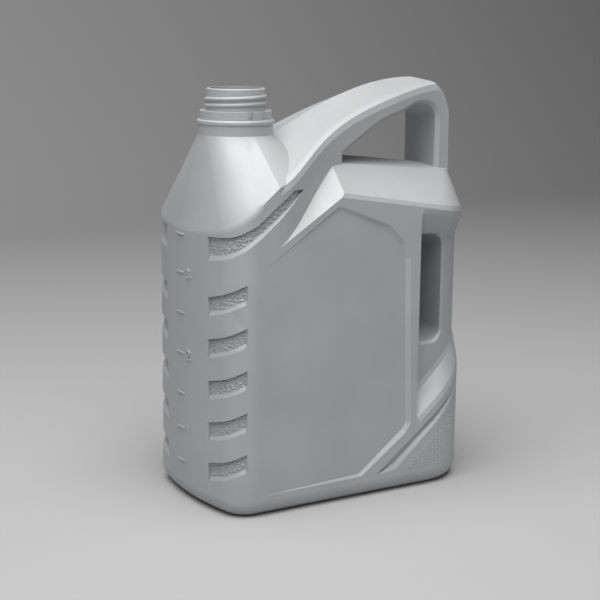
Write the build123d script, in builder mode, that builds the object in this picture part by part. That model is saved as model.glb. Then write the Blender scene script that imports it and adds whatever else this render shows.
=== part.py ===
"""Four-litre blow-moulded jerrycan: one hollow wall of polyethylene with a threaded-neck
finish at the front, a carrying handle arched over the shoulder and a grip hole behind.

Frame: X runs from the front (neck side) to the rear (handle side), Y is the width and Z is
up. The origin is the middle of the footprint, on the floor. Lengths are in millimetres.
"""
from build123d import *
from math import atan, cos, radians, sin, sqrt
import os

# Overall size
length = 197.0
half_width = 57.0
wall = 1.4

# Plan outline of the trunk, and the shallow recess that leaves a rim to stand on
front_bow_radius = 190.0
front_corner_radius = 20.0
rear_corner_radius = 37.0
base_edge_radius = 11.0
base_inner_bevel = 0.72
base_hollow_depth = 3.0
base_hollow_margin = 17.0

# Neck finish, upwards from the shoulder
neck_from_front = 37.5
neck_base_radius = 24.15
neck_base_height = 240.0
bead_height = 248.0
bead_radius = 25.0
bead_thickness = 3.2
bead_chamfer = 0.8
collar_radius = 23.1
collar_top = 255.0
collar_notch_width = 3.2
collar_notch_angles = (-94.0, -67.0, 86.0, 113.0)
spout_radius = 18.95
lip_height = 269.2
lip_chamfer = 0.6
bore_radius = 17.0
neck_inner_rise = 4.0
neck_inner_shoulder = 10.0

# Shoulder: the slope leaves the front face at a low crease and the sides at a rising ridge.
# The two angles say where the front corners and side faces end on the ring under the neck.
crease_height = 180.0
crease_rise = 0.827
crease_rounding = 6.0
side_end_angle = 98.0
corner_end_angle = 166.0

# Handle spine: stations along X as share of the way from neck axis to rear face, with the
# half width of its walls as share of the trunk's, and the heights of ridge and middle line
spine_share = (0.0, 0.19, 0.376, 0.564, 0.752, 1.0)
spine_width = (1.0, 0.807, 0.614, 0.518, 0.43, 0.342)
spine_ridge = (211.0, 229.5, 247.0, 258.5, 266.7, 270.5)
spine_crown = (225.0, 240.6, 255.3, 267.0, 273.2, 274.0)
ridge_rounding = 5.0
handle_corner_radius = 29.0
leg_thickness = 12.9
leg_rear_gap = 1.1
leg_bevel = 2.6
bevel_loss = 0.59

# Opening under the handle arch, X measured from the rear face
opening_toe = (100.5, 226.0)
opening_arch = ((79.5, 238.3), (59.5, 248.0), (42.5, 252.8))
arch_start_rise = 0.62
opening_top = 257.0
opening_corner = 11.0
opening_floor = 200.0

# Block behind the neck that carries the handle leg, X measured from the rear face
rim_height = 201.9
rim_fall = 0.16
rim_band = 4.5
block_front = 143.5
block_rear = 4.0
block_top_height = 220.9
block_top_fall = 0.1
block_top_width = (0.693, 0.43)
block_top_corner = 9.0
block_crown = 4.5
ramp_head = 114.9
ramp_rise = 0.64
ramp_slope = 0.776

# Rear grip: a hole right through, in a waist that is narrower than the trunk
waist_depth = 51.5
waist_step = 12.0
waist_corner = 30.0
waist_top = 174.0
flare_foot = 46.0
flare_foot_rise = 0.78
flare_head = 58.0
flare_head_rise = 0.93
edge_rounding = 3.0
flare_bevel = 1.8
hole_front = 48.5
hole_rear = 24.5
hole_bottom = 98.0
hole_top = 172.0
hole_corner = 9.0
hole_bevel = 1.8

# Sunk panel on each side, X measured from the rear face
panel_depth = 2.2
panel_outline = ((170.5, 160.5), (115.5, 195.7), (77.6, 180.6), (65.9, 168.3), (62.4, 158.6),
                 (59.0, 46.8), (62.1, 42.3), (96.1, 17.0), (170.5, 14.3))
panel_corner = 3.0
panel_bevel_angle = 52.0

# Finger pockets down the front corners, X measured from the front face
pocket_depth = 2.4
pocket_inner = 28.5
pocket_start = 3.7
pocket_end = 16.0
pocket_count = 5
pocket_first = 129.8
pocket_pitch = 27.2
pocket_height = 12.0
pocket_rise_x = 0.47
pocket_rise_y = 0.16

# Long pocket that sweeps from the front up the shoulder wall, X measured from the front
sweep_lower = ((-6.5, 158.9), (3.5, 165.5), (14.5, 172.8), (26.2, 181.3), (43.0, 195.5),
               (57.5, 207.3))
sweep_upper = ((58.5, 208.3), (50.0, 208.8), (37.7, 200.7), (22.5, 188.6), (11.0, 182.5),
               (0.5, 179.0), (-6.5, 176.5))

# Groove that climbs round each lower rear corner, X measured from the rear face
groove_depth = 2.4
groove_inner = 21.0
groove_outline = ((82.8, 14.3), (25.3, 58.5), (-6.5, 83.0), (-6.5, 79.4), (25.9, 51.6),
                  (67.8, 15.6))

x_front = -length / 2
x_rear = length / 2
neck_x = x_front + neck_from_front
spine_run = x_rear - neck_x
waist_front = x_rear - waist_depth
waist_half = half_width - waist_step
high = 1.2 * lip_height
overlap = 1.0
neck_axis = Axis((neck_x, 0, 0), (0, 0, 1))


def slope_plane(height, rise, x=0.0):
    """Plane that contains the Y direction and climbs towards +X."""
    tilt = atan(rise)
    return Plane(origin=(x, 0, height), x_dir=(cos(tilt), 0, rise * cos(tilt)),
                 z_dir=(-rise * cos(tilt), 0, cos(tilt)))


def front_plan(inset, x_back):
    """Bowed front face, round front corners and straight sides, up to x_back."""
    bow = front_bow_radius - inset
    half = half_width - inset
    front = x_front + inset
    side_x = front + bow - sqrt(bow**2 - half**2)
    with BuildSketch() as plan:
        with BuildLine():
            ThreePointArc((side_x, half), (front, 0), (side_x, -half))
            Polyline((side_x, -half), (x_back, -half), (x_back, half), (side_x, half))
        make_face()
        corners = plan.vertices().group_by(Axis.X)[0]
        fillet(corners, front_corner_radius - inset)
    return plan.sketch


def rear_plan(half, corner, x_from, x_to):
    """Straight sides and round rear corners."""
    with BuildSketch() as plan:
        with Locations(((x_from + x_to) / 2, 0)):
            Rectangle(x_to - x_from, 2 * half)
        fillet(plan.vertices().group_by(Axis.X)[-1], corner)
    return plan.sketch


def column(sketch, below, above=None):
    """Upright column of a plan, cut off by one or two sloping planes."""
    with BuildPart() as post:
        extrude(sketch, amount=high)
        split(bisect_by=below, keep=Keep.BOTTOM)
        if above is not None:
            split(bisect_by=above, keep=Keep.TOP)
    return post.part


def slanted_top(sketch, plane):
    """Face that a sloping plane cuts through an upright column of a plan."""
    return column(sketch, plane).faces().sort_by(Axis.Z)[-1]


def neck_ring(foot, radius):
    """Half ring under the neck, with one arc or line for each edge of the foot face."""
    corner_start = half_width - front_corner_radius / 2
    turns = []
    for edge in foot.outer_wire().order_edges():
        x, y, _ = edge @ 0
        turn = side_end_angle if abs(y) > corner_start else corner_end_angle
        if x > neck_x - overlap:
            turn = 90
        turns.append(turn if y > 0 else 360 - turn)

    def spot(angle):
        return Vector(neck_x + radius * cos(radians(angle)), radius * sin(radians(angle)),
                      neck_base_height)

    ring = [Edge.make_line(spot(start), spot(end)) if abs(start - end) == 180
            else Edge.make_three_point_arc(spot(start), spot((start + end) / 2), spot(end))
            for start, end in zip(turns, turns[1:] + turns[:1])]
    return Face(Wire(ring))


def near(shape, points):
    """The edges of a shape that pass nearest to some points and to their mirror images."""
    edges = []
    for x, y, z in points:
        for side in (1, -1) if y else (1,):
            spot = Vector(x, side * y, z)
            edges.append(min(shape.edges(), key=lambda e: e.distance_to(spot)))
    return edges


def soften(shape, radius, *points):
    """Rounds the edges that pass nearest to some points."""
    return shape.fillet(radius, near(shape, points))


def bevel(shape, width, *points):
    """Cuts a narrow bevel along the edges that pass nearest to some points."""
    return shape.chamfer(width, None, near(shape, points))


def tower(inset):
    """Front of the bottle: upright below the shoulder crease, then sloping to the neck."""
    shift = inset * sqrt(1 + crease_rise**2)
    radius = neck_base_radius - inset
    half = half_width - inset
    # Behind the neck axis the shoulder is a plain cone that runs into the handle, and
    # stays between the walls of the spine
    side_top = crease_height - shift + crease_rise * (neck_x - x_front)
    stations = [(neck_x, half)] + [
        (neck_x + share * spine_run, width * half_width - inset - overlap)
        for share, width in zip(spine_share[1:3], spine_width[1:3])]
    with BuildPart() as flare:
        with BuildSketch(Plane.XZ):
            with BuildLine():
                Polyline((neck_x, side_top / 2), (neck_x + half, side_top / 2),
                         (neck_x + half, side_top), (neck_x + radius, neck_base_height),
                         (neck_x, neck_base_height), close=True)
            make_face()
        revolve(axis=neck_axis)
        with BuildSketch():
            with BuildLine():
                Polyline([*stations, *[(x, -y) for x, y in reversed(stations)]], close=True)
            make_face()
        extrude(amount=high, mode=Mode.INTERSECT)
    crease = slope_plane(crease_height - shift, crease_rise, x_front)
    with BuildPart() as front:
        add(column(front_plan(inset, neck_x), crease))
        foot = front.faces().sort_by(Axis.Z)[-1]
        loft([foot, neck_ring(foot, radius)])
        add(flare.part)
    return front.part


def spine(inset, finished=True):
    """Handle, band walls and shoulder roof in one sweep from the neck to the rear leg."""
    with BuildPart() as handle:
        for share, width, ridge, crown in zip(spine_share, spine_width, spine_ridge,
                                              spine_crown):
            x = neck_x + share * spine_run
            with BuildSketch(Plane(origin=(x, 0, 0), x_dir=(0, 1, 0), z_dir=(1, 0, 0))) as cut:
                w, r, c = width * half_width - inset, ridge - inset, crown - inset
                low = flare_foot / 2
                # Each ridge is blunted by two facets
                bend = ridge_rounding
                drop = (c - r) * bend / w
                corner = [(w, r - bend), (w - bend / 4, r - bend / 4 + drop / 4),
                          (w - bend, r + drop)]
                with BuildLine():
                    Polyline([(-w, low), (w, low), *corner, (0, c),
                              *[(-y, z) for y, z in reversed(corner)]], close=True)
                make_face()
        loft()
        # Side view of the arch: flat top, rounded rear shoulder, upright rear face
        rear = x_rear - leg_rear_gap - inset
        top = spine_crown[-1] + overlap - inset
        with BuildSketch(Plane.XZ) as side:
            with BuildLine():
                Polyline((neck_x - overlap, 0), (rear, 0), (rear, top), (neck_x - overlap, top),
                         close=True)
            make_face()
            fillet(side.vertices().sort_by(lambda v: v.X + v.Y)[-1],
                   handle_corner_radius - inset)
        extrude(amount=2 * half_width, both=True, mode=Mode.INTERSECT)
        # Opening under the arch
        leg = x_rear - leg_rear_gap - leg_thickness + inset
        toe = (x_rear - opening_toe[0] - 2 * inset, opening_toe[1])
        arch = [(x_rear - x, z + inset) for x, z in opening_arch]
        peak = (leg - 1.4 * opening_corner, opening_top + inset)
        with BuildSketch(Plane.XZ) as gap:
            with BuildLine():
                Spline(toe, *arch, peak, tangents=((1, arch_start_rise), (1, 0)))
                Polyline(peak, (leg, peak[1]), (leg, opening_floor), (toe[0], opening_floor),
                         toe)
            make_face()
            fillet(gap.vertices().sort_by(lambda v: v.X + v.Y)[-1], opening_corner)
        extrude(amount=2 * half_width, both=True, mode=Mode.SUBTRACT)
    if not finished:
        return handle.part
    leg_side = spine_width[-1] * half_width - inset
    return bevel(handle.part, leg_bevel - bevel_loss * inset,
                 (leg, leg_side, neck_base_height), (rear, leg_side, neck_base_height))


def block(inset):
    """Hip roof behind the neck, crowned along the middle, that carries the handle leg."""
    rim = slope_plane(rim_height - 1.2 * inset, -rim_fall)
    deck = slope_plane(block_top_height - inset, -block_top_fall)
    eaves = slanted_top(rear_plan(half_width - inset, rear_corner_radius - inset,
                                  x_rear - block_front, x_rear - inset), rim)
    x0, x1 = x_rear - block_front, x_rear - block_rear - inset
    w0, w1 = (width * half_width - inset for width in block_top_width)
    with BuildSketch() as plan:
        with BuildLine():
            Polyline((x0, -w0), (x1, -w1), (x1, w1), (x0, w0), close=True)
        make_face()
        fillet(plan.vertices().group_by(Axis.X)[-1], block_top_corner)
    top = slanted_top(plan.sketch, deck)
    # Two faint slopes fall from the middle line of the deck to its edges
    deck_0, deck_1 = (block_top_height - inset - block_top_fall * x for x in (x0, x1))
    along = Vector(x1 - x0, w1 - w0, deck_1 - deck_0)
    up = along.cross(Vector(0, w0, -block_crown))
    with BuildPart() as crown:
        extrude(top, amount=2 * block_crown, dir=(0, 0, 1))
        for y in (1, -1):
            split(bisect_by=Plane(origin=(x0, 0, deck_0 + block_crown),
                                  z_dir=(up.X, y * up.Y, up.Z)), keep=Keep.BOTTOM)
    with BuildPart() as roof:
        loft([eaves, top])
        add(crown.part)
    if inset:
        return roof.part
    return soften(roof.part, edge_rounding,
                  ((x0 + x1) / 2, (w0 + w1) / 2, (deck_0 + deck_1) / 2))


def trunk(inset):
    """Lower body with its rear waist; the sloping flares join the waist to foot and block."""
    half, rear = half_width - inset, x_rear - inset
    waist, corner = waist_half - inset, waist_corner - inset
    back = waist_front - inset
    rim = slope_plane(rim_height - 1.2 * inset, -rim_fall)
    lip = slope_plane(rim_height - rim_band + 1.2 * inset, -rim_fall)
    waist_head = slope_plane(waist_top + 1.2 * inset, -block_top_fall, waist_front)
    foot_edge = slope_plane(flare_foot - 1.3 * inset, flare_foot_rise, waist_front)
    waist_foot = slope_plane(flare_head - 1.3 * inset, flare_head_rise, waist_front)
    with BuildSketch() as middle:
        with Locations(((neck_x - overlap + back) / 2, 0)):
            Rectangle(back - neck_x + overlap, 2 * half)
    start = back - waist_step
    wide = rear_plan(half, rear_corner_radius - inset, start, rear)
    narrow = rear_plan(waist, corner, start, rear)
    with BuildPart() as upper:
        add(column(middle.sketch, rim))
        add(block(inset))
        # The two ramps that fall from the block towards the front
        for side in (1, -1):
            out = Vector(-ramp_rise, side * ramp_slope, 1)
            foot = (x_rear - ramp_head, side * half_width, rim_height - inset * out.length)
            split(bisect_by=Plane(origin=foot, z_dir=out), keep=Keep.BOTTOM)
    with BuildPart() as body:
        add(upper.part)
        add(column(wide, foot_edge))
        loft([slanted_top(wide, foot_edge), slanted_top(narrow, waist_foot)])
        add(column(narrow, waist_head))
        loft([slanted_top(narrow, waist_head), slanted_top(wide, lip)])
        add(column(wide, rim, lip))
    return body.part


def upright_cutter(outline, deep, inner):
    """Prism along Y outside |Y| = inner, less the form that lies deep under the faces."""
    with BuildSketch(Plane.XZ) as side:
        with BuildLine():
            Polyline(outline, close=True)
        make_face()
    with BuildPart() as prism:
        extrude(side.sketch, amount=2 * half_width)
        split(bisect_by=Plane.XZ.offset(inner), keep=Keep.TOP)
        for piece in deep:
            add(piece, mode=Mode.SUBTRACT)
    return prism.part


def grown(outline, amount):
    """Closed outline with each corner pushed outwards, so all its sides move by an amount."""
    corners = [Vector(*point) for point in outline]
    turning = sum(a.X * b.Y - b.X * a.Y for a, b in zip(corners, corners[1:] + corners[:1]))
    way = amount if turning > 0 else -amount
    moved = []
    for before, here, after in zip(corners[-1:] + corners, corners, corners[1:] + corners[:1]):
        a, b = (here - before).normalized(), (after - here).normalized()
        out = Vector(a.Y + b.Y, -a.X - b.X)
        moved.append(here + out * (way / (1 + a.dot(b))))
    return [(point.X, point.Y) for point in moved]


def hole_cut(inset):
    """The grip hole, right through the waist."""
    with BuildSketch(Plane.XZ) as side:
        with Locations((x_rear - (hole_front + hole_rear) / 2, (hole_bottom + hole_top) / 2)):
            Rectangle(hole_front - hole_rear + 2 * inset, hole_top - hole_bottom + 2 * inset)
        fillet(side.vertices(), hole_corner + inset)
    with BuildPart() as hole:
        extrude(side.sketch, amount=2 * half_width, both=True)
        # Outside, the mouths of the hole are bevelled
        if not inset:
            for y in (hole_bevel - waist_half, waist_half - hole_bevel):
                mouth = Pos(0, y, 0) * side.sketch
                extrude(mouth, amount=1.5 * hole_bevel, dir=(0, y / abs(y), 0), taper=-45)
    return hole.part


def recess_cut(inset):
    """The shallow recess that leaves the base a rim to stand on."""
    margin = base_hollow_margin - inset
    with BuildPart() as recess:
        extrude(front_plan(margin, 0), amount=base_hollow_depth + inset)
        extrude(rear_plan(half_width - margin, rear_corner_radius - margin, -overlap,
                          x_rear - margin), amount=base_hollow_depth + inset)
    return recess.part


def panel_cut(inset):
    """One side panel: a tapered tray whose floor meets the side face at the front edge."""
    outline = [(x_rear - x, z) for x, z in panel_outline]
    x_fade = outline[0][0]
    lean = atan(panel_depth / (max(x for x, z in outline) - x_fade))
    floor = Plane(origin=(x_fade, -half_width + inset, 0), x_dir=(cos(lean), sin(lean), 0),
                  z_dir=(sin(lean), -cos(lean), 0))
    with BuildSketch(floor) as tray:
        with BuildLine():
            Polyline([(x - x_fade, z) for x, z in outline], close=True)
        make_face()
        fillet(tray.vertices().filter_by(lambda v: v.X > overlap), panel_corner)
    with BuildPart() as panel:
        extrude(tray.sketch, amount=2 * panel_depth, taper=-panel_bevel_angle)
    return panel.part


def pocket_cut(inset):
    """The top finger pocket of one front corner, bevelled along the inner lower edge."""
    rise = Vector(-pocket_rise_x, pocket_rise_y, 1)
    low = Vector(x_front + pocket_start, -pocket_inner, pocket_first)
    inner = -pocket_inner + inset
    far = x_front + pocket_end + inset
    with BuildSketch() as reach:
        with BuildLine():
            Polyline((x_front - overlap, inner), (x_front - overlap, -half_width - overlap),
                     (far, -half_width - overlap), (far, inner), close=True)
        make_face()
    with BuildPart() as pocket:
        extrude(reach.sketch, amount=high)
        split(bisect_by=Plane(origin=low - Vector(0, 0, inset), z_dir=rise), keep=Keep.TOP)
        split(bisect_by=Plane(origin=low + Vector(0, 0, pocket_height + inset), z_dir=rise),
              keep=Keep.BOTTOM)
        extrude(front_plan(pocket_depth + inset, 0), amount=high, mode=Mode.SUBTRACT)
    return pocket.part


def sweep_cut(inset):
    """The long pocket of one side, which follows the shoulder wall up to the handle."""
    outline = grown([(x_front + x, z) for x, z in sweep_lower + sweep_upper], inset)
    deep = pocket_depth + inset
    return upright_cutter(outline, (tower(deep), spine(deep, False)), pocket_inner - inset)


def groove_cut(inset):
    """The groove that climbs round one lower rear corner."""
    outline = grown([(x_rear - x, z) for x, z in groove_outline], inset)
    deep = groove_depth + inset
    core = rear_plan(half_width - deep, rear_corner_radius - deep, 0, x_rear - deep)
    with BuildPart() as post:
        extrude(core, amount=high)
    return upright_cutter(outline, [post.part], groove_inner - inset)


def hollows(inset):
    """What is taken out of the outer form."""
    with BuildPart() as cuts:
        for piece in panel_cut(inset), sweep_cut(inset), groove_cut(inset):
            add(piece)
        pocket = pocket_cut(inset)
        for k in range(pocket_count):
            with Locations((0, 0, -k * pocket_pitch)):
                add(pocket)
        mirror(about=Plane.XZ)
        add(hole_cut(inset))
        add(recess_cut(inset))
    return cuts.part

def skin(inset):
    """The bottle below the neck finish before anything is cut from it."""
    pieces = tower(inset), trunk(inset), spine(inset)
    with BuildPart() as whole:
        for piece in pieces:
            add(piece)
        if inset:
            split(bisect_by=Plane.XY.offset(inset), keep=Keep.TOP)
            chamfer(whole.faces().sort_by(Axis.Z)[0].outer_wire().edges(),
                    base_inner_bevel * (base_edge_radius - inset))
    return whole.part


def softened(shape):
    """The outer form with its mould edges rounded."""
    flare = waist_front + waist_step / 2
    lip_height_there = rim_height - rim_band - rim_fall * flare
    shape = soften(shape, crease_rounding, (x_front, 0, crease_height))
    shape = soften(shape, edge_rounding,
                   (waist_front, waist_half, (flare_head + waist_top) / 2))
    shape = bevel(shape, flare_bevel,
                  (flare, waist_half, flare_head + flare_head_rise * waist_step / 2),
                  (flare, waist_half, waist_top - block_top_fall * waist_step / 2))
    shape = bevel(shape, flare_bevel,
                  (flare, half_width, flare_foot + flare_foot_rise * waist_step / 2),
                  (flare, half_width, lip_height_there))
    shape = bevel(shape, flare_bevel, (0, half_width, rim_height))
    return soften(shape, base_edge_radius, (0, half_width, 0))


def form(inset):
    """The whole bottle below the neck finish, drawn smaller by the inset on every face."""
    plain = skin(inset)
    with BuildPart() as whole:
        add(plain if inset else softened(plain))
        add(hollows(inset), mode=Mode.SUBTRACT)
    return whole.part


outer = form(0)
cavity = form(wall)

# Neck finish, turned about the neck axis: base, bead, collar, plain spout
half_bead = bead_thickness / 2
with BuildSketch(Plane.XZ) as finish:
    with BuildLine():
        Polyline((neck_x, neck_base_height - overlap),
                 (neck_x + neck_base_radius, neck_base_height - overlap),
                 (neck_x + neck_base_radius, bead_height - half_bead),
                 (neck_x + bead_radius, bead_height - half_bead),
                 (neck_x + bead_radius, bead_height + half_bead),
                 (neck_x + collar_radius, bead_height + half_bead),
                 (neck_x + collar_radius, collar_top),
                 (neck_x + spout_radius, collar_top),
                 (neck_x + spout_radius, lip_height),
                 (neck_x, lip_height), close=True)
    make_face()
    chamfer(finish.vertices().filter_by(lambda v: v.X > neck_x + bead_radius - 0.1),
            bead_chamfer)
    chamfer(finish.vertices().filter_by(
        lambda v: v.X > neck_x + overlap and v.Y > lip_height - 0.1), lip_chamfer)
with BuildSketch(Plane.XZ) as mouth:
    with BuildLine():
        Polyline((neck_x, neck_base_height - 2 * overlap),
                 (neck_x + neck_base_radius - wall, neck_base_height - 2 * overlap),
                 (neck_x + neck_base_radius - wall, neck_base_height + neck_inner_rise),
                 (neck_x + bore_radius, neck_base_height + neck_inner_shoulder),
                 (neck_x + bore_radius, lip_height + overlap),
                 (neck_x, lip_height + overlap), close=True)
    make_face()

# Notches in the collar, where a cap's ratchet teeth take hold
with BuildPart() as notches:
    for angle in collar_notch_angles:
        with Locations(Location((neck_x, 0, collar_top), (0, 0, angle))):
            with Locations((collar_radius, 0, 0)):
                Box(2 * (collar_radius - spout_radius - overlap), collar_notch_width,
                    2 * (collar_top - bead_height - half_bead))

with BuildPart() as jerrycan_bottle:
    add(outer)
    revolve(finish.sketch, axis=neck_axis)
    add(notches.part, mode=Mode.SUBTRACT)
    add(cavity, mode=Mode.SUBTRACT)
    revolve(mouth.sketch, axis=neck_axis, mode=Mode.SUBTRACT)
jerrycan_bottle.part.label = "jerrycan_bottle"

os.makedirs("parts", exist_ok=True)
export_step(jerrycan_bottle.part, "parts/jerrycan_bottle.step")
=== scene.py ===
import bpy
import bmesh
from math import asin, cos, hypot, pi, radians, sin
from mathutils import Matrix, Vector, noise
from mathutils.bvhtree import BVHTree


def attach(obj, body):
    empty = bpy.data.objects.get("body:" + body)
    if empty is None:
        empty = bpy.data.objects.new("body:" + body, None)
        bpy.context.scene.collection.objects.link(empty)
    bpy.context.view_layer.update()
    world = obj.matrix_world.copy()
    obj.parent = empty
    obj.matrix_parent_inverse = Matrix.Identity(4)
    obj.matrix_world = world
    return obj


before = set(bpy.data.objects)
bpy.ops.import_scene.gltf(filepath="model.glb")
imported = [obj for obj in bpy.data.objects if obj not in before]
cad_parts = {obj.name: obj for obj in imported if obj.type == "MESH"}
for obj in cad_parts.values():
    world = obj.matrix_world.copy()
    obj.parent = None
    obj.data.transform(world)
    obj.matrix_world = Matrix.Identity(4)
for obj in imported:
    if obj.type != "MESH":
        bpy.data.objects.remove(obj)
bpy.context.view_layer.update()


# Camera: stands low in front of the neck side and looks along the near side face,
# at the height of the shoulder, as the photograph does.
scene = bpy.context.scene
camera_place = Vector((-0.504849, -0.812568, 0.321321))
camera_turn = radians(31.276)
camera_dip = radians(11.619)
camera_roll = radians(0.59)
camera_lens = 86.07

ahead = Vector((sin(camera_turn) * cos(camera_dip), cos(camera_turn) * cos(camera_dip),
                -sin(camera_dip)))
level = Vector((cos(camera_turn), -sin(camera_turn), 0))
above = level.cross(ahead)
right = cos(camera_roll) * level + sin(camera_roll) * above
above = cos(camera_roll) * above - sin(camera_roll) * level
camera = bpy.data.objects.new("camera", bpy.data.cameras.new("camera"))
camera.data.lens = camera_lens
camera.data.sensor_width = 36
camera.data.clip_end = 20
camera.matrix_world = Matrix((
    (right.x, above.x, -ahead.x, camera_place.x),
    (right.y, above.y, -ahead.y, camera_place.y),
    (right.z, above.z, -ahead.z, camera_place.z),
    (0, 0, 0, 1)))
scene.collection.objects.link(camera)
scene.camera = camera
scene.view_settings.view_transform = "Standard"


# Floor: a sheet of pale matt paper that rolls up behind the object, so no horizon shows.
# It is a stage, not part of the object.
def linear(hex_colour):
    """sRGB hex value as linear red, green, blue and alpha."""
    parts = [int(hex_colour[i:i + 2], 16) / 255 for i in (1, 3, 5)]
    return [p / 12.92 if p < 0.04045 else ((p + 0.055) / 1.055) ** 2.4 for p in parts] + [1]


def add_node(tree, kind, settings=None, inputs=None):
    """One shader node with its settings, its input values and its links."""
    node = tree.nodes.new("ShaderNode" + kind)
    for key, value in (settings or {}).items():
        setattr(node, key, value)
    for key, value in (inputs or {}).items():
        if isinstance(value, bpy.types.NodeSocket):
            tree.links.new(value, node.inputs[key])
        else:
            node.inputs[key].default_value = value
    return node


def new_material(name):
    """Empty node material with its output node."""
    material = bpy.data.materials.new(name)
    material.use_nodes = True
    material.node_tree.nodes.clear()
    return material, material.node_tree


def finish_mesh(name, mesh, material, smooth=True):
    """Object at the origin from a bmesh, with one material."""
    bmesh.ops.recalc_face_normals(mesh, faces=mesh.faces)
    data = bpy.data.meshes.new(name)
    mesh.to_mesh(data)
    mesh.free()
    data.materials.append(material)
    for polygon in data.polygons:
        polygon.use_smooth = smooth
    piece = bpy.data.objects.new(name, data)
    scene.collection.objects.link(piece)
    return piece


floor_size = 6.0
sweep_start = 1.1
sweep_radius = 0.6
sweep_steps = 12
wall_height = 2.5

paper, paper_tree = new_material("matt_paper")
paper_shader = add_node(paper_tree, "BsdfPrincipled", inputs={
    "Base Color": linear("#B1B1B1"), "Roughness": 0.9, "Specular IOR Level": 0.2})
add_node(paper_tree, "OutputMaterial", inputs={"Surface": paper_shader.outputs[0]})

sweep = bmesh.new()
line = [sweep.verts.new((x, -floor_size, 0)) for x in (-floor_size, floor_size)]
grown = bmesh.ops.extrude_edge_only(sweep, edges=[sweep.edges.new(line)])["geom"]
verts = [g for g in grown if isinstance(g, bmesh.types.BMVert)]
bmesh.ops.translate(sweep, verts=verts, vec=(0, floor_size + sweep_start, 0))
last = [g for g in grown if isinstance(g, bmesh.types.BMEdge)
        and all(v in verts for v in g.verts)]
bmesh.ops.spin(sweep, geom=last + verts, cent=(0, sweep_start, sweep_radius), axis=(1, 0, 0),
               angle=pi / 2, steps=sweep_steps, use_duplicate=False, use_merge=False)
top = [e for e in sweep.edges if all(v.co.z > sweep_radius - 0.001 for v in e.verts)]
grown = bmesh.ops.extrude_edge_only(sweep, edges=top)["geom"]
bmesh.ops.translate(sweep, verts=[g for g in grown if isinstance(g, bmesh.types.BMVert)],
                    vec=(0, 0, wall_height))
finish_mesh("floor", sweep, paper)


# Studio light: a broad soft box high on the near side, so that every edge that faces up
# is bright, and a weak one beside the camera, in a dim grey room.
def soft_light(name, place, energy, size, aim=(0, 0, 0.13)):
    """Square area light that looks at a point of the object."""
    lamp = bpy.data.lights.new(name, "AREA")
    lamp.energy = energy
    lamp.size = size
    holder = bpy.data.objects.new(name, lamp)
    holder.location = place
    holder.rotation_euler = (Vector(aim) - Vector(place)).to_track_quat("-Z", "Y").to_euler()
    scene.collection.objects.link(holder)


soft_light("overhead_light", (-0.27, -0.3, 1.33), 29, 1.4)
soft_light("camera_side_light", (-1.0, -1.3, 0.8), 3, 1.4)
room = bpy.data.worlds.new("room")
room.use_nodes = True
room.node_tree.nodes["Background"].inputs["Color"].default_value = linear("#CACACB")
room.node_tree.nodes["Background"].inputs["Strength"].default_value = 0.18
scene.world = room


# Bottle: high-density polyethylene with a fine aluminium pigment, blow-moulded in one
# piece. The mould was blasted, so the skin is satin with a faint grain, and the pigment
# settles in faint clouds and in streaks that run down the wall as the tube is drawn.
grain_size = 0.7
cloud_size = 60.0
streak_width = 7.0
streak_length = 180.0
wear_size = 24.0

silver_polyethylene, tree = new_material("silver_pigmented_polyethylene")
place = add_node(tree, "TexCoord").outputs["Object"]
grain = add_node(tree, "TexNoise", inputs={
    "Vector": place, "Scale": 1000 / grain_size, "Detail": 2.0})
clouds = add_node(tree, "TexNoise", inputs={
    "Vector": place, "Scale": 1000 / cloud_size, "Detail": 3.0})
drawn = add_node(tree, "Mapping", inputs={
    "Vector": place, "Scale": (1000 / streak_width, 1000 / streak_width,
                               1000 / streak_length)})
streaks = add_node(tree, "TexNoise", inputs={
    "Vector": drawn.outputs["Vector"], "Scale": 1.0, "Detail": 2.0})
wear = add_node(tree, "TexNoise", inputs={
    "Vector": place, "Scale": 1000 / wear_size, "Detail": 6.0, "Roughness": 0.7})
pigment = add_node(tree, "Math", {"operation": "MULTIPLY_ADD"}, {
    0: streaks.outputs["Fac"], 1: 0.15, 2: clouds.outputs["Fac"]})
depth = add_node(tree, "MapRange", inputs={
    "Value": pigment.outputs[0], "From Min": 0.3, "From Max": 0.85})
tint = add_node(tree, "Mix", {"data_type": "RGBA"}, {
    "Factor": depth.outputs["Result"], "A": linear("#A8A9AC"), "B": linear("#B6B7B8")})
rubbed = add_node(tree, "MapRange", inputs={
    "Value": wear.outputs["Fac"], "From Min": 0.42, "From Max": 0.68, "To Max": 0.1})
sheen = add_node(tree, "Math", {"operation": "MULTIPLY_ADD"}, {
    0: grain.outputs["Fac"], 1: 0.12, 2: 0.46})
satin = add_node(tree, "Math", {"operation": "ADD"}, {
    0: sheen.outputs[0], 1: rubbed.outputs["Result"]})
skin = add_node(tree, "Bump", inputs={
    "Height": grain.outputs["Fac"], "Strength": 0.1, "Distance": 0.0003})
shader = add_node(tree, "BsdfPrincipled", inputs={
    "Base Color": tint.outputs["Result"], "Metallic": 0.15, "IOR": 1.54,
    "Roughness": satin.outputs[0], "Normal": skin.outputs["Normal"]})
add_node(tree, "OutputMaterial", inputs={"Surface": shader.outputs[0]})

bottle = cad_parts["jerrycan_bottle"]
bottle.data.materials.clear()
bottle.data.materials.append(silver_polyethylene)
bottle_skin = BVHTree.FromPolygons([bottle.matrix_world @ v.co for v in bottle.data.vertices],
                                   [p.vertices[:] for p in bottle.data.polygons])


cast_reach = 0.02


def skin_point(point, out):
    """Where the bottle's skin lies on the line through a point, coming from outside."""
    return bottle_skin.ray_cast(point + cast_reach * out, -out)[0]


def moulded_detail(name, mesh, smooth=True):
    """Piece that is part of the bottle's own moulding."""
    piece = finish_mesh(name, mesh, silver_polyethylene, smooth)
    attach(piece, "root")


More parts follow.
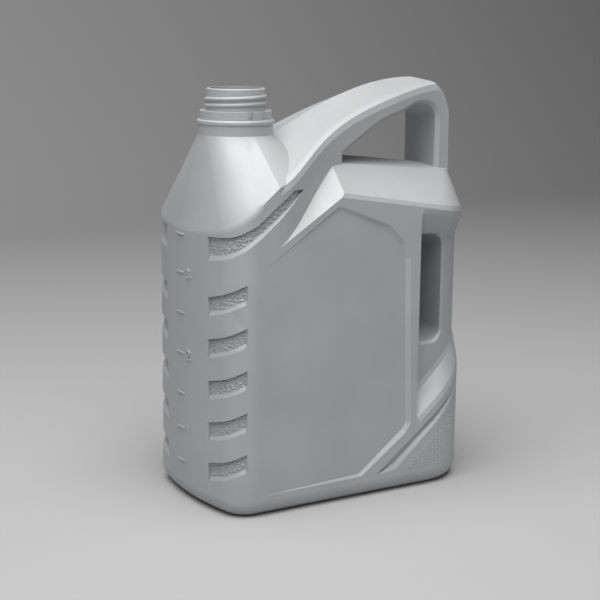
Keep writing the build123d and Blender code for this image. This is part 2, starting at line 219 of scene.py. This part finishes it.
# Neck thread: two turns of a round ridge on the spout, moulded with the bottle, that fade
# into the wall at both ends.
neck_x = -0.061
spout_radius = 0.01895
thread_height = 0.00125
thread_half_width = 0.0014
thread_pitch = 0.004
thread_start = 0.2571
thread_turns = 2.05
thread_fade = 0.09
thread_sink = 0.0001
turn_steps = 72
thread_start_angle = radians(60)

thread = bmesh.new()
profile = [(-0.0003, -1.0), (0.0, -1.0), (0.65, -0.66), (1.0, -0.28), (1.0, 0.28),
           (0.65, 0.66), (0.0, 1.0), (-0.0003, 1.0)]
steps = int(thread_turns * turn_steps)
rings = []
for step in range(steps + 1):
    share = step / steps
    fade = min(1, share / thread_fade, (1 - share) / thread_fade)
    angle = thread_start_angle + share * thread_turns * 2 * pi
    rise = thread_start + share * thread_turns * thread_pitch
    ring = []
    for out, across in profile:
        reach = out if out < 0 else out * thread_height * fade - thread_sink
        radius = spout_radius + reach
        ring.append(thread.verts.new((neck_x + radius * cos(angle), radius * sin(angle),
                                      rise + across * thread_half_width)))
    rings.append([thread.edges.new((a, b)) for a, b in zip(ring, ring[1:] + ring[:1])])
for low, high in zip(rings, rings[1:]):
    bmesh.ops.bridge_loops(thread, edges=low + high)
for end in (rings[0], rings[-1]):
    bmesh.ops.contextual_create(thread, geom=end)
moulded_detail("neck_thread", thread)


# Level marks: a stack of short raised bars down the middle of the front face, with a
# numeral beside each full litre, cut into the mould so that they stand proud of the skin.
front_x = -0.0985
mark_heights = (0.1772, 0.1524, 0.1258, 0.0991, 0.0719, 0.0485, 0.0259)
mark_span = (0.0008, 0.0098)
mark_width = 0.001
mark_rise = 0.0009
mark_bevel = 0.0003
numeral_height = 0.0056
numeral_width = 0.0046
numeral_start = -0.0036
numeral_heights = {"3": 0.1524, "2": 0.0991, "1": 0.0485}
numeral_strokes = {
    "1": ((0.1, 0.78), (0.5, 1.0), (0.5, 0.0)),
    "2": ((0.02, 0.78), (0.2, 0.97), (0.6, 1.0), (0.92, 0.8), (0.85, 0.55), (0.0, 0.0),
          (1.0, 0.0)),
    "3": ((0.02, 0.88), (0.4, 1.0), (0.88, 0.85), (0.82, 0.6), (0.4, 0.52), (0.9, 0.42),
          (0.95, 0.14), (0.5, 0.0), (0.0, 0.1))}


def raised_bar(mesh, start, end):
    """Bar with bevelled edges between two points of the front face, given as (y, z)."""
    middle = Vector((0, (start[0] + end[0]) / 2, (start[1] + end[1]) / 2))
    hit, normal, _, _ = bottle_skin.ray_cast(middle - Vector((0.2, 0, 0)), Vector((1, 0, 0)))
    along = Vector((0, end[0] - start[0], end[1] - start[1]))
    reach = along.length + mark_width
    along = (along - along.dot(normal) * normal).normalized()
    across = normal.cross(along)
    turn = Matrix((along, across, normal)).transposed().to_4x4()
    size = Matrix.Diagonal((reach, mark_width, 2 * mark_rise, 1))
    made = bmesh.ops.create_cube(mesh, size=1, matrix=Matrix.Translation(hit) @ turn @ size)
    edges = list({e for v in made["verts"] for e in v.link_edges})
    bmesh.ops.bevel(mesh, geom=edges, offset=mark_bevel, segments=1, affect="EDGES")


marks = bmesh.new()
for height in mark_heights:
    raised_bar(marks, (mark_span[0], height), (mark_span[1], height))
for numeral, height in numeral_heights.items():
    corners = [(numeral_start - u * numeral_width, height + (v - 0.5) * numeral_height)
               for u, v in numeral_strokes[numeral]]
    for start, end in zip(corners, corners[1:]):
        raised_bar(marks, start, end)
moulded_detail("level_marks", marks, smooth=False)


# Grip grain: the floors of the finger pockets and of the long pockets that sweep up the
# shoulder are etched with a coarse pebble grain, moulded in, so that wet hands hold.
half_width = 0.057
front_bow = 0.19
front_corner = 0.02
corner_place = (-0.0744, 0.037)
pocket_inner = 0.0285
pocket_end = -0.0825
pocket_first = 0.1298
pocket_pitch = 0.0272
pocket_height = 0.012
pocket_count = 5
pocket_rise = (0.47, 0.16)
pocket_low_x = -0.0948
sweep_end = -0.0418
sweep_low = ((-0.095, 0.1655), (-0.084, 0.1728), (-0.0723, 0.1813), (-0.0555, 0.1955),
             (-0.041, 0.2073))
sweep_high = ((-0.098, 0.179), (-0.0875, 0.1825), (-0.076, 0.1886), (-0.0608, 0.2007),
              (-0.0485, 0.2088), (-0.041, 0.2088))
pebble_step = 0.00038
pebble_size = 0.00095
pebble_rise = 0.0012
pebble_cover = 0.35
floor_margin = 0.0005
floor_lift = 0.00004


def line_height(line, x):
    """Height of a line of (x, z) points at one x."""
    for (x0, z0), (x1, z1) in zip(line, line[1:]):
        if x <= x1 or (x1, z1) == line[-1]:
            return z0 + (z1 - z0) * (x - x0) / (x1 - x0)


def plan_stations(x_end):
    """Points around the front corner in plan with their outward direction, on the +Y side."""
    bow_end = asin(corner_place[1] / (front_bow - front_corner))
    angle = asin((pocket_inner + floor_margin) / front_bow)
    centre = (front_x + front_bow, 0)
    while angle < bow_end:
        yield (centre[0] - front_bow * cos(angle), front_bow * sin(angle),
               -cos(angle), sin(angle))
        angle += pebble_step / front_bow
    angle = pi - bow_end
    x = front_x
    while angle > pi / 2 and x < x_end:
        x = corner_place[0] + front_corner * cos(angle)
        yield x, corner_place[1] + front_corner * sin(angle), cos(angle), sin(angle)
        angle -= pebble_step / front_corner
    while x < x_end:
        x += pebble_step
        yield x, half_width, 0, 1


def pebbled_floor(mesh, side, x_end, heights):
    """Grid over one pocket floor, lifted into rounded pebbles; its rim dips into the floor."""
    columns = []
    rows = round(pocket_height / pebble_step)
    for x, y, out_x, out_y in plan_stations(x_end - floor_margin):
        out = Vector((out_x, side * out_y, 0))
        low, high = heights(x, y)
        column = []
        for row in range(rows + 1):
            z = low + floor_margin + (high - low - 2 * floor_margin) * row / rows
            hit = skin_point(Vector((x, side * y, z)), out)
            column.append((hit, out, row in (0, rows)))
        columns.append(column)
    grid = []
    for index, column in enumerate(columns):
        line = []
        for hit, out, at_rim in column:
            pebble = max(0, pebble_cover + noise.noise(hit / pebble_size))
            lift = floor_lift + pebble_rise * pebble
            if at_rim or index in (0, len(columns) - 1):
                lift = -floor_lift
            line.append(mesh.verts.new(hit + lift * out))
        grid.append(line)
    for left, right in zip(grid, grid[1:]):
        for a, b, c, d in zip(left, right, right[1:], left[1:]):
            mesh.faces.new((a, b, c, d))


def pocket_heights(drop):
    """Lower and upper edge of a finger pocket at one place of the plan."""
    def heights(x, y):
        low = (pocket_first - drop + pocket_rise[0] * (x - pocket_low_x)
               + pocket_rise[1] * (y - pocket_inner))
        return low, low + pocket_height
    return heights


grain_mesh = bmesh.new()
for side in (1, -1):
    for count in range(pocket_count):
        pebbled_floor(grain_mesh, side, pocket_end, pocket_heights(count * pocket_pitch))
    pebbled_floor(grain_mesh, side, sweep_end,
                  lambda x, y: (line_height(sweep_low, x), line_height(sweep_high, x)))
moulded_detail("pocket_grain", grain_mesh)


# Pocket ledges: the lower side of each pocket isn't a square step but a slope that sheds
# water, which the mould leaves between the outer skin and the pocket floor.
ledge_rise = 0.0033
ledge_steps = 5
ledge_bulge = 0.00025
ledge_sink = (0.00002, 0.0001)
lip_drop = 0.001
sweep_ledge_rise = 0.0036
sweep_ledge_fade = 0.035


def sloped_ledge(mesh, side, stations, heights, rise):
    """Slope from the lower lip of a pocket, at the outer skin, up to the pocket floor."""
    last = None
    for x, y, out_x, out_y in stations:
        out = Vector((out_x, side * out_y, 0))
        low = heights(x, y)[0]
        lip = Vector((x, side * y, low))
        under = skin_point(lip - Vector((0, 0, lip_drop)), out)
        height = rise(x)
        top = skin_point(lip + Vector((0, 0, height)), out)
        foot = Vector((under.x, under.y, low))
        across = Vector((top.x, top.y, low + height)) - foot
        bulge = Vector((out.x * across.z, out.y * across.z, hypot(across.x, across.y)))
        bulge.normalize()
        ring = []
        for step in range(ledge_steps + 1):
            share = step / ledge_steps
            ring.append(foot + share * across + ledge_bulge * sin(pi * share) * bulge)
        ring[0] = ring[0] - ledge_sink[0] * out
        ring[-1] = ring[-1] - ledge_sink[1] * out
        ring = [mesh.verts.new(point) for point in ring]
        if last:
            for a, b, c, d in zip(last, last[1:], ring[1:], ring):
                mesh.faces.new((a, b, c, d))
        last = ring


ledges = bmesh.new()
for side in (1, -1):
    for count in range(pocket_count):
        sloped_ledge(ledges, side, plan_stations(pocket_end),
                     pocket_heights(count * pocket_pitch), lambda x: ledge_rise)
    sloped_ledge(ledges, side, plan_stations(sweep_end),
                 lambda x, y: (line_height(sweep_low, x), line_height(sweep_high, x)),
                 lambda x: sweep_ledge_rise * min(1, (sweep_end - x) / sweep_ledge_fade))
moulded_detail("pocket_ledges", ledges)


# Groove ledge: the lower side of the groove that climbs round each rear corner is a broad
# slope too, so that the corner draws out of the mould; it starts as a pointed foot.
rear_corner = 0.037
rear_centre = (0.0615, 0.02)
groove_low = ((0.0157, 0.0143), (0.0307, 0.0156), (0.0726, 0.0516), (0.105, 0.0794))
groove_high = ((0.0157, 0.0143), (0.0732, 0.0585), (0.105, 0.083))
groove_start = 0.0162
groove_turn = radians(87.5)
groove_share = 0.42
groove_step = 0.0012


def rear_stations():
    """Points along the side and round the rear corner with their outward direction."""
    x = groove_start
    while x < rear_centre[0]:
        yield x, half_width, 0, 1
        x += groove_step
    angle = 0
    while angle < groove_turn:
        yield (rear_centre[0] + rear_corner * sin(angle),
               rear_centre[1] + rear_corner * cos(angle), sin(angle), cos(angle))
        angle += groove_step / rear_corner


groove = bmesh.new()
for side in (1, -1):
    sloped_ledge(groove, side, rear_stations(),
                 lambda x, y: (line_height(groove_low, x), line_height(groove_high, x)),
                 lambda x: groove_share * (line_height(groove_high, x)
                                           - line_height(groove_low, x)))
moulded_detail("groove_ledge", groove)


# Thumb dots: rows of small round bumps on the lower rear corners, in a triangle under the
# climbing groove, moulded in.
dot_radius = 0.0007
dot_rise = 0.8
dot_pitch = 0.0029
dot_row = 0.00215
dot_field = ((0.0388, 0.0152), (0.0779, 0.0467))
dot_edge = 0.0794

dots = bmesh.new()
reach = 0
while True:
    x = dot_field[0][0] + reach
    way = Vector((0, 1, 0))
    y = half_width
    if x > rear_centre[0]:
        turn = (x - rear_centre[0]) / rear_corner
        way = Vector((sin(turn), cos(turn), 0))
        x = rear_centre[0] + rear_corner * sin(turn)
        y = rear_centre[1] + rear_corner * cos(turn)
    if x > dot_edge:
        break
    z = dot_field[0][1]
    while z < line_height(dot_field, x):
        for side in (1, -1):
            out = Vector((way.x, side * way.y, 0))
            hit = skin_point(Vector((x, side * y, z)), out)
            turn = out.to_track_quat("Z", "Y").to_matrix().to_4x4()
            bmesh.ops.create_uvsphere(
                dots, u_segments=8, v_segments=5, radius=dot_radius,
                matrix=Matrix.Translation(hit) @ turn @ Matrix.Diagonal((1, 1, dot_rise, 1)))
        z += dot_row
    reach += dot_pitch
moulded_detail("thumb_dots", dots)


# Parting line: where the two mould halves met, a hair of plastic is left all round the
# middle plane; on the deck under the handle it is thicker, where the flash was torn off.
line_step = 0.0015
line_half_width = 0.00022
line_rise = 0.00012
flash_rise = 0.0004
line_sink = 0.00004
ripples_per_metre = 900
contour_runs = (
    ((-0.13, 0.012), (-0.13, 0.238), (1, 0), line_rise),
    ((-0.035, 0.3), (0.07, 0.3), (0, -1), line_rise),
    ((0.13, 0.262), (0.13, 0.012), (-1, 0), line_rise),
    ((0.002, 0.2275), (0.083, 0.2275), (0, -1), flash_rise))


def parting_ridge(mesh, start, end, way, rise):
    """Low ridge along the middle plane, traced by parallel lines in direction way."""
    start, end = Vector((start[0], 0, start[1])), Vector((end[0], 0, end[1]))
    way = Vector((way[0], 0, way[1]))
    steps = int((end - start).length / line_step)
    last = None
    for step in range(steps + 1):
        hit = bottle_skin.ray_cast(start.lerp(end, step / steps), way)[0]
        lift = rise * (0.6 + 0.8 * noise.noise(hit * ripples_per_metre))
        foot = hit + line_sink * way
        ring = [mesh.verts.new(foot + Vector((0, y, 0))) for y in
                (-line_half_width, line_half_width)]
        ring.insert(1, mesh.verts.new(hit - lift * way))
        if last and (last[1].co - ring[1].co).length < 6 * line_step:
            for a, b, c, d in zip(last, last[1:], ring[1:], ring):
                mesh.faces.new((a, b, c, d))
        last = ring


parting = bmesh.new()
for start, end, way, rise in contour_runs:
    parting_ridge(parting, start, end, way, rise)
moulded_detail("parting_line", parting)
